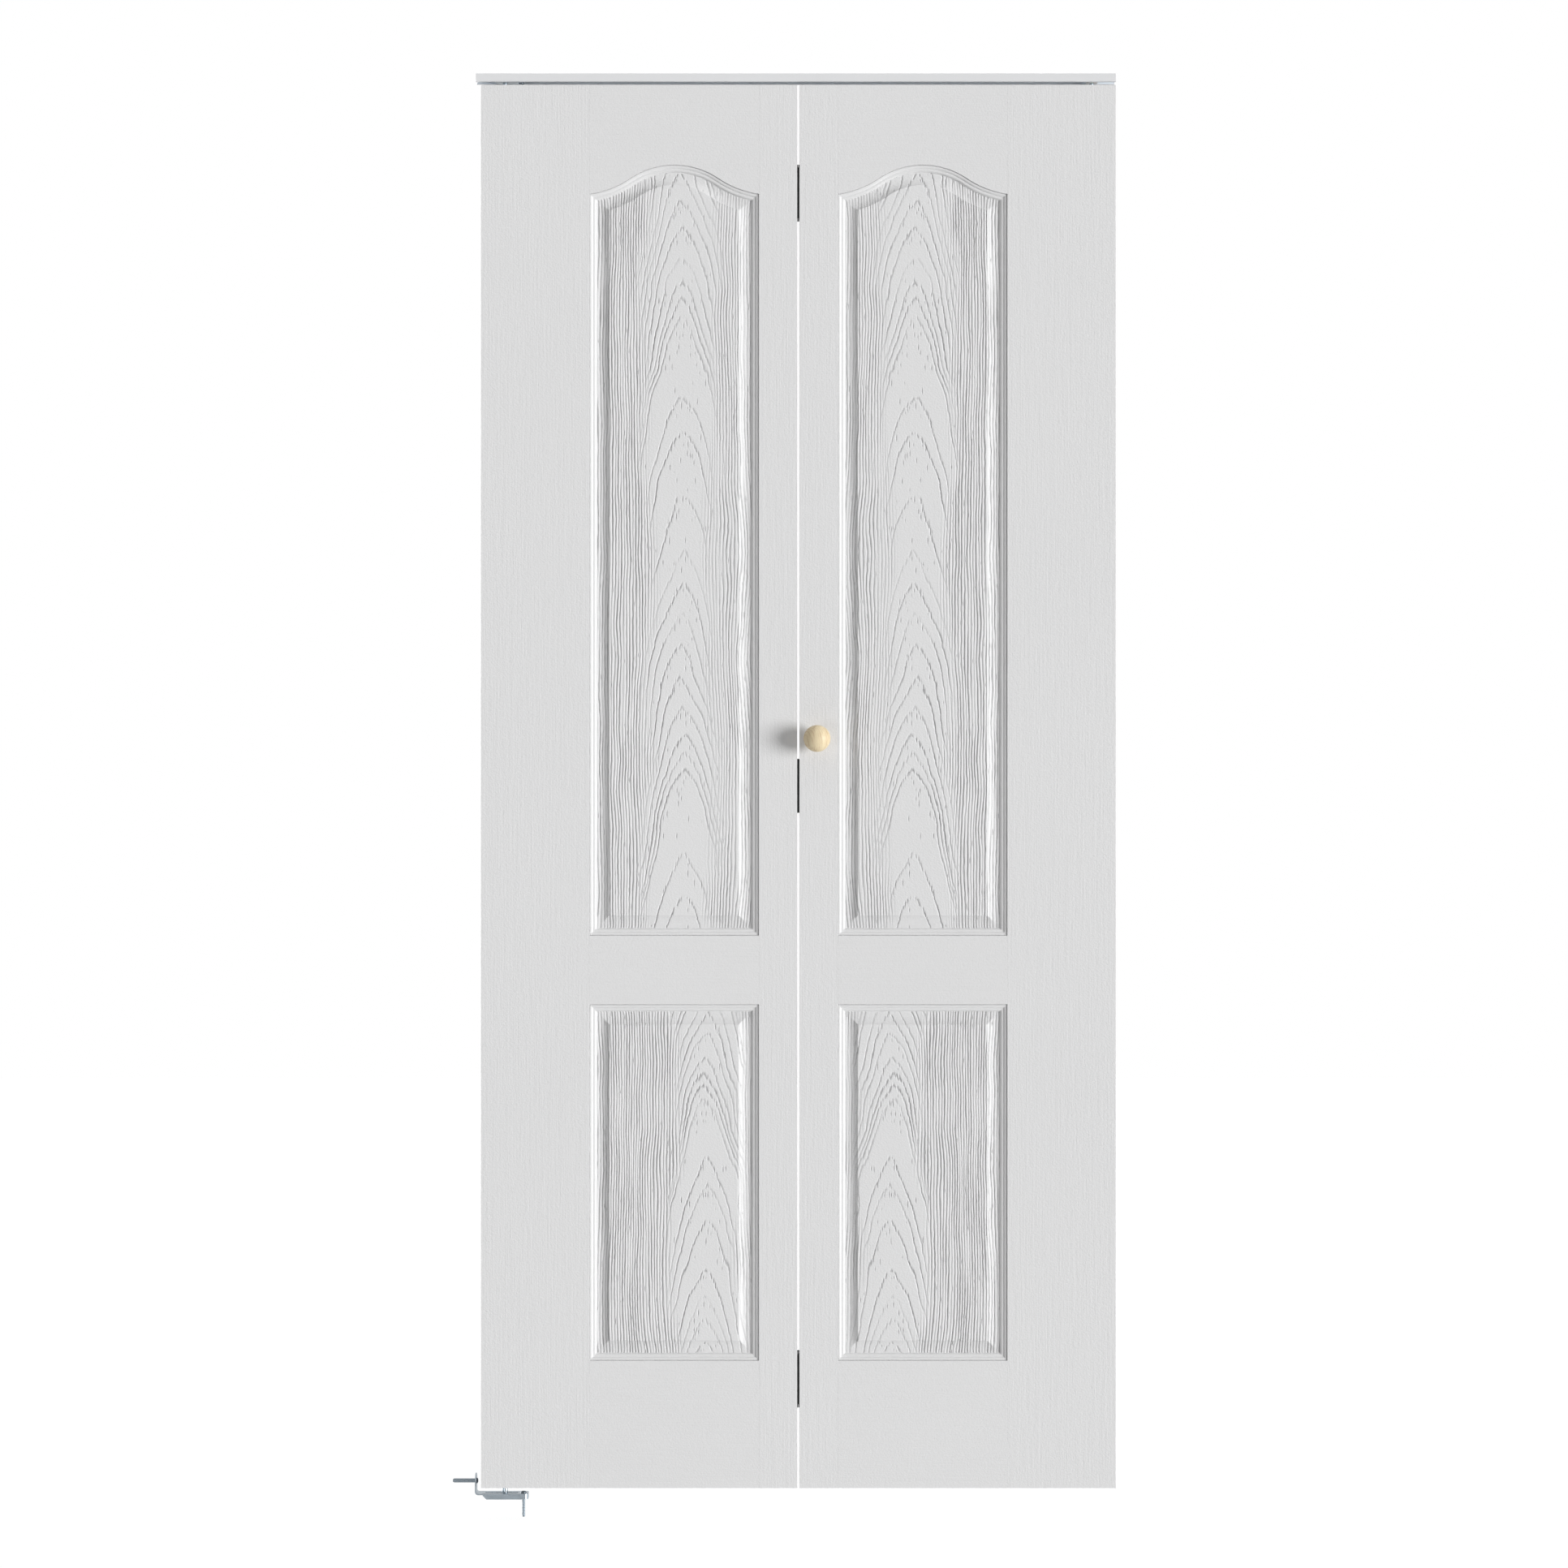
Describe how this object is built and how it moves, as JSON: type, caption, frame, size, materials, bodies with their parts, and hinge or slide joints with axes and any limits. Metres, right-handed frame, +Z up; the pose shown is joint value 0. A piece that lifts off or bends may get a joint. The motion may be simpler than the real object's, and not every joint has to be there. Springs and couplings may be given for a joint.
{
  "type": "bifold closet door",
  "caption": "Bifold door of hinged hollow-core leaves with moulded arch-top panels and a turned wood knob, hung on pivots and guided in an overhead steel track.",
  "frame": {"origin": "on the axis of the bottom and top pivots, at the floor under the floor bracket", "axes": "+X to the right along the track, towards the guide; +Y to the back, into the closet; +Z up"},
  "size_m": [0.9451, 0.0865, 2.0577],
  "materials": {
    "door_skin": "moulded hardboard, white primer with embossed wood grain, satin",
    "stile_primed": "finger-jointed softwood, white primer on the edges",
    "frame_wood": "bare sawn softwood",
    "core_paper": "plain kraft paper",
    "track_white": "white baked enamel outside, bare zinc-plated steel inside",
    "zinc_steel": "zinc-plated, satin",
    "hinge_black": "black, satin",
    "sleeve_nylon": "natural nylon, matte",
    "wheel_nylon": "white nylon, satin",
    "knob_pine": "sanded pine, unfinished"
  },
  "bodies": {
    "root": {"track": "track_white", "top_pivot_bracket": "zinc_steel", "top_bracket_screw": "zinc_steel", "floor_bracket": "zinc_steel", "jamb_screw": "zinc_steel", "floor_screw": "zinc_steel", "bottom_pivot_pin": "zinc_steel"},
    "pivot_leaf": {"pivot_leaf_front_skin": "door_skin", "pivot_leaf_back_skin": "door_skin", "pivot_leaf_outer_stile": "stile_primed", "pivot_leaf_hinge_stile": "stile_primed", "pivot_leaf_top_rail": "frame_wood", "pivot_leaf_bottom_rail": "frame_wood", "pivot_leaf_core": "core_paper", "top_pivot_sleeve": "sleeve_nylon", "top_pivot_spring": "zinc_steel", "bottom_pivot_sleeve": "sleeve_nylon", "pivot_leaf_hinge_screws": "hinge_black", "hinge_upper_pivot_plate": "hinge_black", "hinge_middle_pivot_plate": "hinge_black", "hinge_lower_pivot_plate": "hinge_black", "hinge_upper_pin": "hinge_black", "hinge_middle_pin": "hinge_black", "hinge_lower_pin": "hinge_black"},
    "top_pin": {"top_pivot_pin": "zinc_steel"},
    "lead_leaf": {"lead_leaf_front_skin": "door_skin", "lead_leaf_back_skin": "door_skin", "lead_leaf_outer_stile": "stile_primed", "lead_leaf_hinge_stile": "stile_primed", "lead_leaf_top_rail": "frame_wood", "lead_leaf_bottom_rail": "frame_wood", "lead_leaf_core": "core_paper", "guide_sleeve": "sleeve_nylon", "guide_spring": "zinc_steel", "lead_leaf_hinge_screws": "hinge_black", "knob": "knob_pine", "knob_screw": "zinc_steel", "hinge_upper_lead_plate": "hinge_black", "hinge_middle_lead_plate": "hinge_black", "hinge_lower_lead_plate": "hinge_black"},
    "guide_pin": {"guide_pin": "zinc_steel"},
    "guide_wheel": {"guide_wheel": "wheel_nylon"}
  },
  "joints": [
    {"name": "pivot_fold", "type": "hinge", "parent": "root", "child": "pivot_leaf", "pos_m": [0, 0, 1], "axis": [0, 0, -1], "range_deg": [0, 85]},
    {"name": "leaf_fold", "type": "hinge", "parent": "pivot_leaf", "child": "lead_leaf", "pos_m": [0.4186, 0.0213, 1], "axis": [0, 0, 1], "range_deg": [0, 170]},
    {"name": "top_pin_plunge", "type": "slide", "parent": "pivot_leaf", "child": "top_pin", "axis": [0, 0, -1], "range_m": [0, 0.007], "stiffness_N_per_m": 500, "springref_m": -0.012, "deforming": ["top_pivot_spring"]},
    {"name": "guide_pin_plunge", "type": "slide", "parent": "lead_leaf", "child": "guide_pin", "axis": [0, 0, -1], "range_m": [0, 0.0044], "stiffness_N_per_m": 500, "springref_m": -0.012, "deforming": ["guide_spring"]},
    {"name": "guide_wheel_spin", "type": "hinge", "parent": "guide_pin", "child": "guide_wheel", "pos_m": [0.8372, 0, 2.021], "axis": [0, 0, 1], "continuous": true}
  ],
  "couplings": [
    {"joint": "leaf_fold", "follows": "pivot_fold", "ratio": 2}
  ]
}
